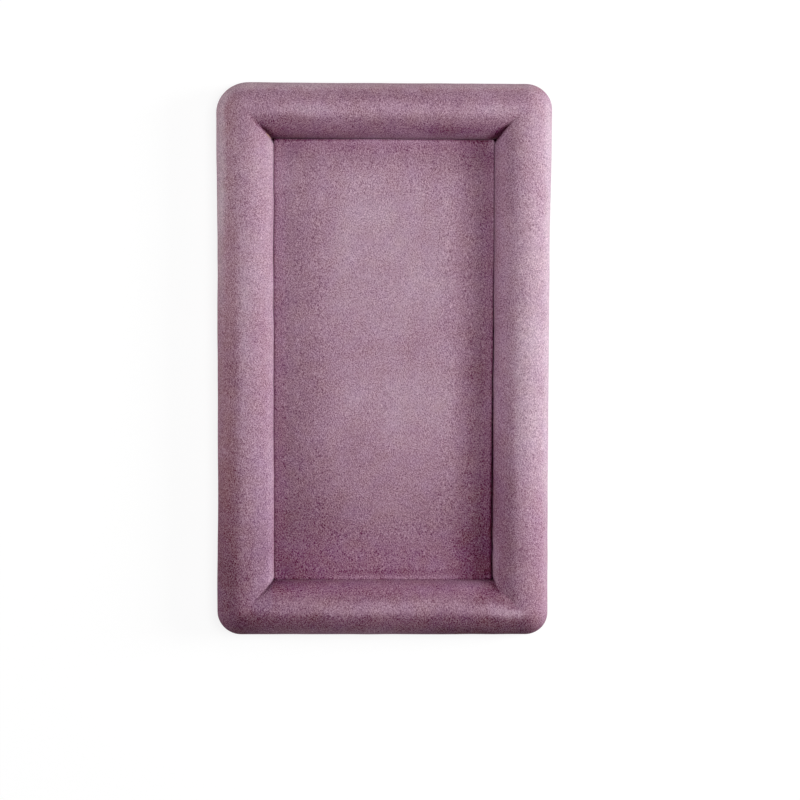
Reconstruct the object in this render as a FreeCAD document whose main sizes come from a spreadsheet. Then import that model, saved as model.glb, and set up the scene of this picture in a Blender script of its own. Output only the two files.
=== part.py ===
"""A rectangular jewelry tray: a mitred half-round frame covered in velvet, with a velvet floor panel.

Millimetres, +Z up. X runs across the tray, Y along it, and the origin is on the surface that the
tray stands on, under its centre. The crest is the rectangle along the top of the rim, and a rim
section is drawn from the crest: outwards is negative, inwards positive.
"""
import FreeCAD, Part
import math
import os
import Sketcher

# Driving sizes: alias, value in millimetres, what it measures
SIZES = [
    ("tray_width", 120.0, "outside width over the velvet"),
    ("tray_length", 200.0, "outside length over the velvet"),
    ("rim_width", 20.0, "width of the rim over the velvet"),
    ("rim_wall_height", 1.5, "upright part of the rim's inner wall, below the half-round"),
    ("velvet_thickness", 0.6, "velvet with its pile"),
    ("edge_ease", 1.2, "rounding of the rails' lower outer edge"),
    ("rebate_depth", 8.0, "how far the base is let into the rails"),
    ("board_thickness", 2.5, "base board"),
    ("board_clearance", 0.2, "gap between the board's edge and the rebate"),
    ("card_thickness", 1.5, "card inside the floor panel"),
    ("floor_clearance", 0.4, "gap between the floor panel and the rim"),
    ("floor_turn_in", 9.0, "velvet turned in under the floor panel's card"),
    ("rim_flange", 6.0, "rim velvet that lies on the board, under the floor panel"),
    ("turn_in_gap", 2.4, "board rebate to the edge of the velvet turned under the rim"),
    ("lining_thickness", 0.4, "felt lining under the tray"),
    ("lining_inset", 3.0, "outside of the rim to the edge of the lining"),
    ("nail_setback", 4.0, "crest corner to the V-nail's apex, across each rail"),
    ("nail_leg", 7.0, "length of each leg of a V-nail"),
    ("nail_height", 7.0, "how far a V-nail is driven up"),
    ("nail_thickness", 0.5, "sheet that the V-nails are bent from"),
    ("brad_spacing", 60.0, "distance between neighbouring brads"),
    ("brad_width", 1.2, "shank of a brad along the rail"),
    ("brad_thickness", 1.0, "shank and head of a brad across the rail"),
    ("brad_length", 8.0, "length of a brad with its head"),
    ("brad_head_width", 2.2, "head of a brad along the rail"),
    ("brad_head_height", 0.6, "thickness of a brad's head, sunk flush"),
    ("fastener_clearance", 0.05, "room round a nail or brad in its hole"),
]
LONG_RAIL_BRAD_COUNT = 3
SHORT_RAIL_BRAD_COUNT = 2
MITRE_ANGLE = 45

# Half-round rim and the crest rectangle that it follows
RIM_RADIUS = "(sizes.rim_width / 2)"
RAIL_RADIUS = f"({RIM_RADIUS} - sizes.velvet_thickness)"
CREST_X = f"(sizes.tray_width / 2 - {RIM_RADIUS})"
CREST_Y = f"(sizes.tray_length / 2 - {RIM_RADIUS})"

# Heights, from the surface that the tray stands on
BOARD_BOTTOM = "sizes.lining_thickness"
RAIL_BOTTOM = f"({BOARD_BOTTOM} + sizes.velvet_thickness)"
BOARD_TOP = f"({BOARD_BOTTOM} + sizes.board_thickness)"
PANEL_BOTTOM = f"({BOARD_TOP} + sizes.velvet_thickness)"
CARD_BOTTOM = f"({PANEL_BOTTOM} + sizes.velvet_thickness)"
SPRING_LINE = f"({PANEL_BOTTOM} + sizes.rim_wall_height)"
RAIL_CROWN = f"({SPRING_LINE} + {RAIL_RADIUS})"

# Places across the rim's section, from the crest
REBATE_EDGE = f"({RAIL_RADIUS} - sizes.rebate_depth)"
TURN_IN_EDGE = f"({REBATE_EDGE} - sizes.turn_in_gap)"
FLANGE_EDGE = f"({RIM_RADIUS} + sizes.rim_flange)"
BRAD_LINE = f"({RAIL_RADIUS} - sizes.rebate_depth / 2)"

# The rails' lower outer edge, eased, and the velvet round it
EASE_ACROSS = f"(sizes.edge_ease - {RAIL_RADIUS})"
EASE_UP = f"({RAIL_BOTTOM} + sizes.edge_ease)"
EASE_CENTRE = (EASE_ACROSS, EASE_UP)

# Half sizes of the flat pieces
BOARD_X = f"({CREST_X} - {REBATE_EDGE} - sizes.board_clearance)"
BOARD_Y = f"({CREST_Y} - {REBATE_EDGE} - sizes.board_clearance)"
PANEL_X = f"({CREST_X} - {RIM_RADIUS} - sizes.floor_clearance)"
PANEL_Y = f"({CREST_Y} - {RIM_RADIUS} - sizes.floor_clearance)"
CARD_X = f"({PANEL_X} - sizes.velvet_thickness)"
CARD_Y = f"({PANEL_Y} - sizes.velvet_thickness)"
LINING_X = "(sizes.tray_width / 2 - sizes.lining_inset)"
LINING_Y = "(sizes.tray_length / 2 - sizes.lining_inset)"

doc = FreeCAD.newDocument("jewelry_tray")
sheet = doc.addObject("Spreadsheet::Sheet", "sizes")
for row, (alias, value, meaning) in enumerate(SIZES, start=1):
    sheet.set(f"A{row}", meaning)
    sheet.set(f"B{row}", str(value))
    sheet.setAlias(f"B{row}", alias)
doc.recompute()


def number(expression):
    """What an expression comes to with the sheet's present values."""
    return float(sheet.evalExpression(expression.replace("sizes.", "")))


def negative(expression):
    return f"(-{expression})"


def plus(expression, offset):
    return f"({expression} + {offset})"


def minus(expression, offset):
    return f"({expression} - {offset})"


def new_body(label):
    body = doc.addObject("PartDesign::Body", label)
    body.Label = label
    return body


def origin_plane(body, role):
    return next(item for item in body.Origin.OriginFeatures if item.Role == role)


def new_sketch(body, name, role, **offset):
    """A sketch on one of the body's own planes, moved by expressions given along x, y or z of the plane."""
    sketch = body.newObject("Sketcher::SketchObject", f"{body.Label}_{name}")
    sketch.AttachmentSupport = (origin_plane(body, role), [""])
    sketch.MapMode = "FlatFace"
    for axis, expression in offset.items():
        sketch.setExpression(f"AttachmentOffset.Base.{axis}", expression)
    return sketch


def place_point(sketch, item, point, axis, expression):
    """Dimensions one coordinate of a point of a sketch from the sketch's origin."""
    kind = {"x": "DistanceX", "y": "DistanceY"}[axis]
    index = sketch.addConstraint(Sketcher.Constraint(kind, -1, 1, item, point, number(expression)))
    name = f"item{item}_point{point}_{axis}"
    sketch.renameConstraint(index, name)
    sketch.setExpression(f"Constraints.{name}", expression)


def draw_outline(sketch, corners):
    """Draws a closed outline through the corners, which are given as (x, y) expressions.

    A corner that an arc leads to also has the arc's turn, "left" or "right", and its centre.
    """
    places = [FreeCAD.Vector(number(corner[0]), number(corner[1])) for corner in corners]
    ends = []
    first = sketch.GeometryCount
    for index, corner in enumerate(corners):
        start, end = places[index - 1], places[index]
        if len(corner) == 2:
            sketch.addGeometry(Part.LineSegment(start, end))
            ends.append((1, 2))
            continue
        turn, centre = corner[2:]
        middle = FreeCAD.Vector(number(centre[0]), number(centre[1]))
        circle = Part.Circle(middle, FreeCAD.Vector(0, 0, 1), (start - middle).Length)
        limits = (start, end) if turn == "left" else (end, start)
        sketch.addGeometry(Part.ArcOfCircle(circle, *[circle.parameter(limit) for limit in limits]))
        ends.append((1, 2) if turn == "left" else (2, 1))
    for index, corner in enumerate(corners):
        item, after = first + index, first + (index + 1) % len(corners)
        end, start_after = ends[index][1], ends[(index + 1) % len(corners)][0]
        sketch.addConstraint(Sketcher.Constraint("Coincident", item, end, after, start_after))
        place_point(sketch, item, end, "x", corner[0])
        place_point(sketch, item, end, "y", corner[1])
        if len(corner) > 2:
            place_point(sketch, item, 3, "y", corner[3][1])


def draw_rectangle(sketch, x_low, x_high, y_low, y_high):
    draw_outline(sketch, [(x_low, y_low), (x_high, y_low), (x_high, y_high), (x_low, y_high)])


def draw_brads(sketch, places, width, clearance="0"):
    """Draws a brad's section at each place, its width along the rail that the place names."""
    half_width = f"({width} / 2 + {clearance})"
    half_thickness = f"(sizes.brad_thickness / 2 + {clearance})"
    for x, y, rail_axis in places:
        half_x, half_y = (half_width, half_thickness) if rail_axis == "x" else (half_thickness, half_width)
        draw_rectangle(sketch, minus(x, half_x), plus(x, half_x), minus(y, half_y), plus(y, half_y))


def pad_up(body, sketch, height):
    pad = body.newObject("PartDesign::Pad", f"{sketch.Name}_pad")
    pad.Profile = sketch
    pad.setExpression("Length", height)
    return pad


def cut_up(body, sketch, height):
    """Cuts a sketch's outline upwards from its plane, and makes sure that it took something away."""
    doc.recompute()
    before = body.Shape.Volume
    pocket = body.newObject("PartDesign::Pocket", f"{sketch.Name}_pocket")
    pocket.Profile = sketch
    pocket.Reversed = True
    pocket.setExpression("Length", height)
    doc.recompute()
    if body.Shape.Volume >= before:
        raise RuntimeError(f"{pocket.Name} cuts nothing")
    return pocket


def mirror_ends(body, feature):
    """Repeats a feature of a rail at the rail's other end."""
    copy = body.newObject("PartDesign::Mirrored", f"{feature.Name}_mirrored")
    copy.Originals = [feature]
    copy.MirrorPlane = (origin_plane(body, "YZ_Plane"), [""])
    body.Tip = copy
    doc.recompute()


def round_edges(body, base, name, radius, chosen):
    """Fillets the edges of a feature for which chosen(edge) is true."""
    doc.recompute()
    names = [f"Edge{index}" for index, edge in enumerate(base.Shape.Edges, start=1) if chosen(edge)]
    fillet = body.newObject("PartDesign::Fillet", f"{body.Label}_{name}")
    fillet.Base = (base, names)
    fillet.setExpression("Radius", radius)
    return fillet


def is_upright(edge):
    start, end = [vertex.Point for vertex in edge.Vertexes]
    return abs(start.z - end.z) > abs(start.x - end.x) + abs(start.y - end.y)


def outer_half_section():
    """Outer half of a rail's section, from its foot round the eased edge and up to the crest."""
    return [
        ("0", RAIL_BOTTOM),
        ("0", RAIL_CROWN),
        (negative(RAIL_RADIUS), SPRING_LINE, "left", ("0", SPRING_LINE)),
        (negative(RAIL_RADIUS), EASE_UP),
        (EASE_ACROSS, RAIL_BOTTOM, "left", EASE_CENTRE),
    ]


def spaced(count):
    """Places of evenly spaced brads along a rail, from its middle."""
    return [f"({index - (count - 1) / 2} * sizes.brad_spacing)" for index in range(count)]


def make_rail(label, crest_half, brad_count, angle, crest_away):
    """A half-round rail, drawn as the front one is seen from the crest's middle and then turned.

    Its inner half ends in mitres. Its outer half goes on round each crest corner to the mitre line.
    """
    body = new_body(label)
    section = new_sketch(body, "section", "YZ_Plane")
    draw_outline(section, [
        (RAIL_RADIUS, RAIL_BOTTOM),
        (RAIL_RADIUS, SPRING_LINE),
        (negative(RAIL_RADIUS), SPRING_LINE, "left", ("0", SPRING_LINE)),
        (negative(RAIL_RADIUS), EASE_UP),
        (EASE_ACROSS, RAIL_BOTTOM, "left", EASE_CENTRE),
    ])
    bar = body.newObject("PartDesign::Pad", f"{label}_bar")
    bar.Profile = section
    bar.Midplane = True
    bar.setExpression("Length", f"2 * {crest_half}")

    mitre = new_sketch(body, "mitre", "XY_Plane")
    mitre_end = f"({crest_half} - {RAIL_RADIUS})"
    draw_outline(mitre, [(crest_half, "0"), (crest_half, RAIL_RADIUS), (mitre_end, RAIL_RADIUS)])
    mirror_ends(body, cut_up(body, mitre, RAIL_CROWN))

    corner_section = new_sketch(body, "corner_section", "YZ_Plane", z=crest_half)
    draw_outline(corner_section, outer_half_section())
    corner = body.newObject("PartDesign::Revolution", f"{label}_corner")
    corner.Profile = corner_section
    corner.ReferenceAxis = (corner_section, ["V_Axis"])
    corner.Angle = MITRE_ANGLE
    doc.recompute()
    mirror_ends(body, corner)

    rebate = new_sketch(body, "rebate", "XY_Plane", z=RAIL_BOTTOM)
    rebate_end = f"({crest_half} - {REBATE_EDGE})"
    draw_rectangle(rebate, negative(rebate_end), rebate_end, REBATE_EDGE, RAIL_RADIUS)
    cut_up(body, rebate, f"({BOARD_TOP} - {RAIL_BOTTOM})")

    nail_slot = new_sketch(body, "nail_slot", "XY_Plane", z=RAIL_BOTTOM)
    half_slot = "(sizes.nail_thickness / 2 + sizes.fastener_clearance)"
    apex = plus(crest_half, "sizes.nail_setback")
    draw_rectangle(
        nail_slot,
        f"({apex} - sizes.nail_leg - sizes.fastener_clearance)",
        f"({apex} + {half_slot})",
        f"(-sizes.nail_setback - {half_slot})",
        f"(-sizes.nail_setback + {half_slot})",
    )
    mirror_ends(body, cut_up(body, nail_slot, "sizes.nail_height + sizes.fastener_clearance"))

    brad_holes = new_sketch(body, "brad_holes", "XY_Plane", z=BOARD_TOP)
    places = [(place, BRAD_LINE, "x") for place in spaced(brad_count)]
    draw_brads(brad_holes, places, "sizes.brad_width", "sizes.fastener_clearance")
    cut_up(body, brad_holes, "sizes.brad_length - sizes.board_thickness + sizes.fastener_clearance")

    turn = math.radians(angle)
    body.Placement.Rotation = FreeCAD.Rotation(FreeCAD.Vector(0, 0, 1), angle)
    body.setExpression("Placement.Base.x", f"{round(math.sin(turn))} * {crest_away}")
    body.setExpression("Placement.Base.y", f"{-round(math.cos(turn))} * {crest_away}")
    return body


def make_corner_v_nails():
    """Four V-nails driven up across the mitres, one leg in each rail."""
    body = new_body("corner_v_nails")
    sketch = new_sketch(body, "outline", "XY_Plane", z=RAIL_BOTTOM)
    apex = [plus(crest, "sizes.nail_setback") for crest in (CREST_X, CREST_Y)]
    outer_x, outer_y = [plus(place, "sizes.nail_thickness / 2") for place in apex]
    inner_x, inner_y = [minus(place, "sizes.nail_thickness / 2") for place in apex]
    end_x, end_y = [minus(place, "sizes.nail_leg") for place in apex]
    corners = [
        (outer_x, outer_y),
        (end_x, outer_y),
        (end_x, inner_y),
        (inner_x, inner_y),
        (inner_x, end_y),
        (outer_x, end_y),
    ]
    for right in (1, -1):
        for back in (1, -1):
            draw_outline(sketch, [(f"({right} * {x})", f"({back} * {y})") for x, y in corners])
    pad_up(body, sketch, "sizes.nail_height")
    return body


def brad_places():
    """Where the brads go through the board: x and y, and the axis of the rail that they go into."""
    long_side = minus(CREST_X, BRAD_LINE)
    short_side = minus(CREST_Y, BRAD_LINE)
    places = []
    for side in (1, -1):
        places += [(f"({side} * {long_side})", y, "y") for y in spaced(LONG_RAIL_BRAD_COUNT)]
        places += [(x, f"({side} * {short_side})", "x") for x in spaced(SHORT_RAIL_BRAD_COUNT)]
    return places


def make_base_board():
    """Board let into the rails' rebate, with a stepped hole for each brad and its head."""
    body = new_body("base_board")
    outline = new_sketch(body, "outline", "XY_Plane", z=BOARD_BOTTOM)
    draw_rectangle(outline, negative(BOARD_X), BOARD_X, negative(BOARD_Y), BOARD_Y)
    pad_up(body, outline, "sizes.board_thickness")
    holes = new_sketch(body, "holes", "XY_Plane", z=BOARD_BOTTOM)
    draw_brads(holes, brad_places(), "sizes.brad_width", "sizes.fastener_clearance")
    cut_up(body, holes, "sizes.board_thickness")
    sinks = new_sketch(body, "sinks", "XY_Plane", z=BOARD_BOTTOM)
    draw_brads(sinks, brad_places(), "sizes.brad_head_width", "sizes.fastener_clearance")
    cut_up(body, sinks, "sizes.brad_head_height")
    return body


def make_base_brads():
    """Flat-sided brads driven up through the board into the rails."""
    body = new_body("base_brads")
    shanks = new_sketch(body, "shanks", "XY_Plane", z=BOARD_BOTTOM)
    draw_brads(shanks, brad_places(), "sizes.brad_width")
    pad_up(body, shanks, "sizes.brad_length")
    heads = new_sketch(body, "heads", "XY_Plane", z=BOARD_BOTTOM)
    draw_brads(heads, brad_places(), "sizes.brad_head_width")
    pad_up(body, heads, "sizes.brad_head_height")
    return body


def make_rim_velvet():
    """Velvet over the whole rim in one piece.

    Outside it is turned under the rails. Inside it goes down the wall and out onto the board. It
    rounds the outer corners smoothly, and is drawn into a mitre at the inner ones.
    """
    body = new_body("rim_velvet")
    crest = new_sketch(body, "crest", "XY_Plane")
    draw_outline(crest, [
        ("0", negative(CREST_Y)),
        (CREST_X, negative(CREST_Y)),
        (CREST_X, CREST_Y),
        (negative(CREST_X), CREST_Y),
        (negative(CREST_X), negative(CREST_Y)),
    ])
    section = new_sketch(body, "section", "YZ_Plane", x=negative(CREST_Y))
    draw_outline(section, [
        (TURN_IN_EDGE, BOARD_BOTTOM),
        (TURN_IN_EDGE, RAIL_BOTTOM),
        (EASE_ACROSS, RAIL_BOTTOM),
        (negative(RAIL_RADIUS), EASE_UP, "right", EASE_CENTRE),
        (negative(RAIL_RADIUS), SPRING_LINE),
        (RAIL_RADIUS, SPRING_LINE, "right", ("0", SPRING_LINE)),
        (RAIL_RADIUS, BOARD_TOP),
        (FLANGE_EDGE, BOARD_TOP),
        (FLANGE_EDGE, PANEL_BOTTOM),
        (RIM_RADIUS, PANEL_BOTTOM),
        (RIM_RADIUS, SPRING_LINE),
        (negative(RIM_RADIUS), SPRING_LINE, "left", ("0", SPRING_LINE)),
        (negative(RIM_RADIUS), EASE_UP),
        (EASE_ACROSS, BOARD_BOTTOM, "left", EASE_CENTRE),
    ])
    wrap = body.newObject("PartDesign::AdditivePipe", "rim_velvet_wrap")
    wrap.Profile = section
    wrap.Spine = (crest, [])
    wrap.Transition = "Round corner"
    return body


def make_floor_card():
    """Stiff card inside the floor panel."""
    body = new_body("floor_card")
    outline = new_sketch(body, "outline", "XY_Plane", z=CARD_BOTTOM)
    draw_rectangle(outline, negative(CARD_X), CARD_X, negative(CARD_Y), CARD_Y)
    pad_up(body, outline, "sizes.card_thickness")
    return body


def make_floor_velvet():
    """Velvet wrapped round the card, with its margins turned in on the back."""
    body = new_body("floor_velvet")
    outline = new_sketch(body, "outline", "XY_Plane", z=PANEL_BOTTOM)
    draw_rectangle(outline, negative(PANEL_X), PANEL_X, negative(PANEL_Y), PANEL_Y)
    block = pad_up(body, outline, "sizes.card_thickness + 2 * sizes.velvet_thickness")
    round_edges(body, block, "folds", "sizes.velvet_thickness", lambda edge: True)
    cavity = new_sketch(body, "cavity", "XY_Plane", z=CARD_BOTTOM)
    draw_rectangle(cavity, negative(CARD_X), CARD_X, negative(CARD_Y), CARD_Y)
    cut_up(body, cavity, "sizes.card_thickness")
    back = new_sketch(body, "back", "XY_Plane", z=PANEL_BOTTOM)
    back_x, back_y = [f"({half} - sizes.floor_turn_in)" for half in (PANEL_X, PANEL_Y)]
    draw_rectangle(back, negative(back_x), back_x, negative(back_y), back_y)
    cut_up(body, back, "sizes.velvet_thickness")
    return body


def make_base_lining():
    """Felt glued under the tray, over the turned-in velvet and the board."""
    body = new_body("base_lining")
    outline = new_sketch(body, "outline", "XY_Plane")
    draw_rectangle(outline, negative(LINING_X), LINING_X, negative(LINING_Y), LINING_Y)
    felt = pad_up(body, outline, "sizes.lining_thickness")
    round_edges(body, felt, "corners", f"{RIM_RADIUS} - sizes.lining_inset", is_upright)
    return body


pieces = [
    make_rail("rail_front", CREST_X, SHORT_RAIL_BRAD_COUNT, 0, CREST_Y),
    make_rail("rail_right", CREST_Y, LONG_RAIL_BRAD_COUNT, 90, CREST_X),
    make_rail("rail_back", CREST_X, SHORT_RAIL_BRAD_COUNT, 180, CREST_Y),
    make_rail("rail_left", CREST_Y, LONG_RAIL_BRAD_COUNT, 270, CREST_X),
    make_corner_v_nails(),
    make_base_board(),
    make_base_brads(),
    make_rim_velvet(),
    make_floor_card(),
    make_floor_velvet(),
    make_base_lining(),
]
doc.recompute()

for item in doc.Objects:
    if {"Invalid", "Error"} & set(item.State):
        raise RuntimeError(f"{item.Name} failed: {item.State}")
for piece in pieces:
    if piece.Shape.isNull() or not piece.Shape.isValid():
        raise RuntimeError(f"{piece.Label} has no valid shape")

os.makedirs("parts", exist_ok=True)
for piece in pieces:
    piece.Shape.exportStep(f"parts/{piece.Label}.step")
    box = piece.Shape.optimalBoundingBox()
    print(
        f"{piece.Label}: {len(piece.Shape.Solids)} solids, {piece.Shape.Volume:.1f} mm3,",
        f"x {box.XMin:.2f}..{box.XMax:.2f}, y {box.YMin:.2f}..{box.YMax:.2f},",
        f"z {box.ZMin:.2f}..{box.ZMax:.2f}",
    )
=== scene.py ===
"""Velvet jewelry tray: its cloth pieces, finishes and studio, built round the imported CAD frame."""
import math
from collections import defaultdict, namedtuple

import bmesh
import bpy
from bpy.props import FloatProperty, FloatVectorProperty, PointerProperty
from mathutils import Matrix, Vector, noise


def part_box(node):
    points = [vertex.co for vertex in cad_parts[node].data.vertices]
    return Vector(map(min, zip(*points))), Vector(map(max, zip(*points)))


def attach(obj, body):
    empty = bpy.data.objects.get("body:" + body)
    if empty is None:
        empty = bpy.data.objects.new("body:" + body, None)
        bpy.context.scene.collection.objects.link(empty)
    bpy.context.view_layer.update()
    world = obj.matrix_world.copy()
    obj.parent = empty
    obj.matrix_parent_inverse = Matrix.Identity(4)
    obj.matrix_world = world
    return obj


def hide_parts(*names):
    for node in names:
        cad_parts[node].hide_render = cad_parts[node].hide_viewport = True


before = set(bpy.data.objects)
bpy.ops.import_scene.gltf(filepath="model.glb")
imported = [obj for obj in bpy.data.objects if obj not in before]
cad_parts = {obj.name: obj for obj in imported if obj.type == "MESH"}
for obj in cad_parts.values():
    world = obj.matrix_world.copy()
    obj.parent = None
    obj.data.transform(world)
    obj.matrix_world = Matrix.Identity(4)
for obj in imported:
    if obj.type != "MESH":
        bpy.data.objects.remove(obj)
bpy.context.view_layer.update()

bl_info = {
    "name": "Velvet Jewelry Tray",
    "version": (1, 0, 0),
    "blender": (4, 5, 0),
    "location": "View3D > Sidebar > Tray",
    "description": "Dresses the frame of a jewelry tray in velvet and felt and sets up its studio",
    "category": "Object",
}

# Sizes that the frame gives, in metres
RIM_LOW, RIM_HIGH = (Vector(corner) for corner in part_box("rim_velvet"))
RAIL_LOW, RAIL_HIGH = (Vector(corner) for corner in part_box("rail_front"))
PANEL_LOW, PANEL_HIGH = (Vector(corner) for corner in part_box("floor_velvet"))
LINING_LOW, LINING_HIGH = (Vector(corner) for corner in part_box("base_lining"))

CLOTH_THICKNESS = RAIL_LOW.y - RIM_LOW.y
RIM_RADIUS = (RAIL_HIGH.y - RAIL_LOW.y) / 2 + CLOTH_THICKNESS
CREST_X = RIM_HIGH.x - RIM_RADIUS
CREST_Y = RIM_HIGH.y - RIM_RADIUS
CROWN = RIM_HIGH.z
SPRING_LINE = CROWN - RIM_RADIUS
FLANGE_TOP = PANEL_LOW.z

MM = 0.001
TINY = 1e-6
HALF_PI = math.pi / 2

# How finely the pieces are divided
CLOTH_STEP = 1.0 * MM
ARC_STEPS = 16
WALL_STEPS = 3
EASE_STEPS = 5
TURN_IN_STEPS = 6
CORNER_STEPS = 22
FLANGE_STEPS = 4
PANEL_EDGE_STEPS = 4
LINING_CORNER_STEPS = 10
LINING_EDGE_STEPS = 2
MAX_CUTS = 100
MITRE_CUTS = (0.35 * MM, 0.8 * MM, 1.4 * MM)

# Share of the velvet's thickness that its mesh has, which keeps it clear of what it covers, the angles
# that pieces are smoothed up to, and the rounding of the felt's lower edge
CLOTH_SHARE = 0.85
RIM_SMOOTHING = math.radians(35)
PANEL_SMOOTHING = math.radians(50)
LINING_SMOOTHING = math.radians(40)
LINING_EDGE = 0.15 * MM

SHADING_ATTRIBUTE = "pile_painted_shading"
CAST_NAME = "pile_cast"
RAIL_NODES = ("rail_front", "rail_right", "rail_back", "rail_left")


# Settings

def length_setting(name, description, default):
    """A property that holds a length."""
    return FloatProperty(name=name, description=description, default=default, unit="LENGTH")


def power_setting(name, description, default):
    """A property that holds a lamp's power."""
    return FloatProperty(name=name, description=description, default=default, unit="POWER")


def colour_setting(name, description, default):
    """A property that holds a colour."""
    return FloatVectorProperty(name=name, description=description, default=default, subtype="COLOR")


class RimSettings(bpy.types.PropertyGroup):
    """Cloth that is stretched over the rim"""

    ease: length_setting("Lower edge radius", "Radius of the rim's outer lower edge", 1.8 * MM)
    turn_in: length_setting("Turn-in", "Width of cloth turned under the rails", 7.2 * MM)
    flange: length_setting("Flange", "Width of cloth laid onto the base inside the rim", 6.0 * MM)
    waviness: length_setting("Waviness", "How far the cloth strays from the rail's true form", 0.16 * MM)


class FloorSettings(bpy.types.PropertyGroup):
    """Cloth that is wrapped round the floor card"""

    edge_radius: length_setting("Edge radius", "Radius of the panel's upper edge", 0.9 * MM)
    turn_in: length_setting("Turn-in", "Width of cloth turned in on the card's back", 9.0 * MM)
    crown: length_setting("Crown", "How far the panel's middle stands above its edges", 1.2 * MM)
    crown_reach: length_setting(
        "Crown reach", "How far in from its edges the panel still rises", 26.0 * MM)
    waviness: length_setting("Waviness", "How far the cloth dips between its high places", 0.12 * MM)


class VelvetSettings(bpy.types.PropertyGroup):
    """Colours of the velvet"""

    shade: colour_setting(
        "Pile shade", "Colour down between the tips of the pile", (0.081, 0.014, 0.036))
    # Pile turned and Pile light are the colours that the pile's painted shade and painted light take it
    # towards; its nap and grain use them too
    turned: colour_setting(
        "Pile turned", "Colour of pile that leans away from the light", (0.221, 0.103, 0.154))
    body: colour_setting("Pile body", "Colour of pile that stands upright", (0.383, 0.230, 0.307))
    light: colour_setting("Pile light", "Colour of pile that leans to the light", (0.676, 0.555, 0.636))
    darkest: colour_setting("Pile darkest", "Colour that no tip is darker than", (0.020, 0.002, 0.008))
    grain: colour_setting(
        "Pile grain", "How far single tips stray from the pile's colour", (0.65, 0.51, 0.57))
    cast: colour_setting(
        "Pile cast", "How far patches of pile stray to a cooler colour", (0.0, 0.0, 0.05))
    sheen: FloatProperty(
        name="Sheen", description="How much the tips of the pile shine at a low angle",
        default=0.08, min=0.0, max=1.0, subtype="FACTOR")
    sheen_tint: colour_setting("Sheen colour", "Colour of the shine on the pile's tips", (1.0, 0.70, 0.82))


class StudioSettings(bpy.types.PropertyGroup):
    """Camera and lamps"""

    lens: FloatProperty(
        name="Lens", description="Focal length of the camera", default=85.0, unit="CAMERA")
    key_power: power_setting("Key lamp", "Power of the low soft lamp on the tray's right", 7.0)
    top_power: power_setting("Top lamp", "Power of the soft lamp above the tray", 3.8)
    back_power: power_setting("Back lamp", "Power of the low soft lamp beyond the back", 0.6)
    fill_power: power_setting("Fill lamp", "Power of the low soft lamp on the tray's left", 3.2)
    ambient: FloatProperty(
        name="Ambient", description="Strength of the even light from all round", default=0.06)


# Helpers for modelling

def deselect_all():
    """Leaves nothing selected, so that the next operator acts on its own piece alone."""
    bpy.ops.object.select_all(action="DESELECT")


def open_piece(piece):
    """Selects one piece and opens it in edit mode."""
    deselect_all()
    piece.select_set(True)
    bpy.context.view_layer.objects.active = piece
    bpy.ops.object.mode_set(mode="EDIT")


def close_piece():
    """Goes back to object mode."""
    bpy.ops.object.mode_set(mode="OBJECT")


def settle_place(name):
    """Names the new primitive and puts its place, turn and scale into its mesh."""
    piece = bpy.context.active_object
    piece.name = name
    piece.data.name = name
    bpy.ops.object.transform_apply(location=True, rotation=True, scale=True)
    return piece


def new_plate(name, half_x, half_y, height):
    """A new piece: a flat rectangle round the middle of the tray."""
    deselect_all()
    bpy.ops.mesh.primitive_plane_add(size=2, location=(0, 0, height))
    bpy.context.active_object.scale = (half_x, half_y, 1)
    return settle_place(name)


def select_whole():
    """Selects the whole of the open piece."""
    bpy.ops.mesh.select_all(action="SELECT")


def pick(piece, kind, test):
    """Selects the vertices, edges or faces that pass a test, and nothing else."""
    bpy.ops.mesh.select_mode(type=kind)
    bpy.ops.mesh.select_all(action="DESELECT")
    mesh = bmesh.from_edit_mesh(piece.data)
    for part in {"VERT": mesh.verts, "EDGE": mesh.edges, "FACE": mesh.faces}[kind]:
        part.select_set(test(part))
    mesh.select_flush_mode()
    bmesh.update_edit_mesh(piece.data)


def extrude_points(move):
    """Draws the selected points out into edges."""
    bpy.ops.mesh.extrude_vertices_move(TRANSFORM_OT_translate={"value": move})


def extrude_edges(move):
    """Draws the selected edges out into faces."""
    bpy.ops.mesh.extrude_edges_move(TRANSFORM_OT_translate={"value": move})


def merge_doubles():
    """Joins the points that lie on each other."""
    select_whole()
    bpy.ops.mesh.remove_doubles(threshold=TINY)


def divide_edges(piece, axis, length):
    """Cuts every edge that runs along an axis and is longer than a few steps into steps."""
    longest_left = 2.5 * CLOTH_STEP
    slack = 0.1 * MM

    def runs_along(edge):
        reach = edge.verts[1].co - edge.verts[0].co
        return abs(reach[axis]) > longest_left and reach.length - abs(reach[axis]) < slack

    steps = max(2, round(length / CLOTH_STEP))
    halves = 1
    while steps / halves > MAX_CUTS:
        halves *= 2
    if halves > 1:
        pick(piece, "EDGE", runs_along)
        bpy.ops.mesh.subdivide(number_cuts=halves - 1)
    pick(piece, "EDGE", runs_along)
    bpy.ops.mesh.subdivide(number_cuts=max(1, round(steps / halves) - 1))


def face_up(piece, height):
    """Makes the faces agree, with those above a height pointing up."""
    select_whole()
    bpy.ops.mesh.normals_make_consistent(inside=False)
    mesh = bmesh.from_edit_mesh(piece.data)
    if sum(face.normal.z for face in mesh.faces if face.calc_center_median().z > height) < 0:
        bpy.ops.mesh.flip_normals()


def move_points(piece, shift):
    """Moves each point of a piece by what shift gives for its place and normal."""
    places = [(vertex.co.copy(), vertex.normal.copy()) for vertex in piece.data.vertices]
    for vertex, (place, normal) in zip(piece.data.vertices, places):
        vertex.co = place + shift(place, normal)
    piece.data.update()


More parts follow.
